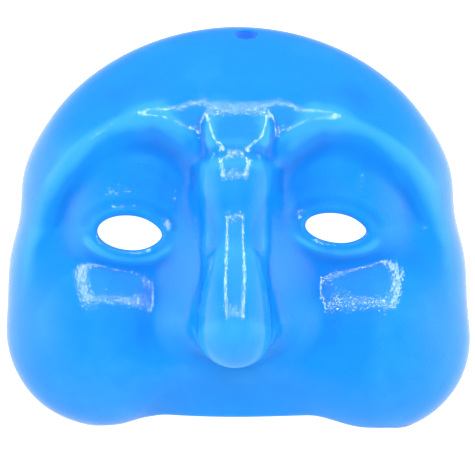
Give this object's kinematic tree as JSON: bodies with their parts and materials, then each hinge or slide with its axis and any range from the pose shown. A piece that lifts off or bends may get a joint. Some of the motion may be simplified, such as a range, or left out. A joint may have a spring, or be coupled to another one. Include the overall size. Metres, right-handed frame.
{
  "type": "ceramic half mask",
  "caption": "Glazed ceramic half mask of the traditional hook-nosed theatre kind, with two eye openings, an open lower edge and a hanging hole.",
  "frame": {"origin": "centre of the footprint, on the plane of the back rim that the mask lies on", "axes": "+X to the right of the face as seen from the front, +Y to the forehead, +Z out of the face; the mask lies on its back rim with the nose up"},
  "size_m": [0.1497, 0.1319, 0.0739],
  "materials": {
    "blue_glaze": "high-gloss azure blue glaze over pale clay"
  },
  "bodies": {
    "root": {"half_mask": "blue_glaze"}
  },
  "joints": []
}
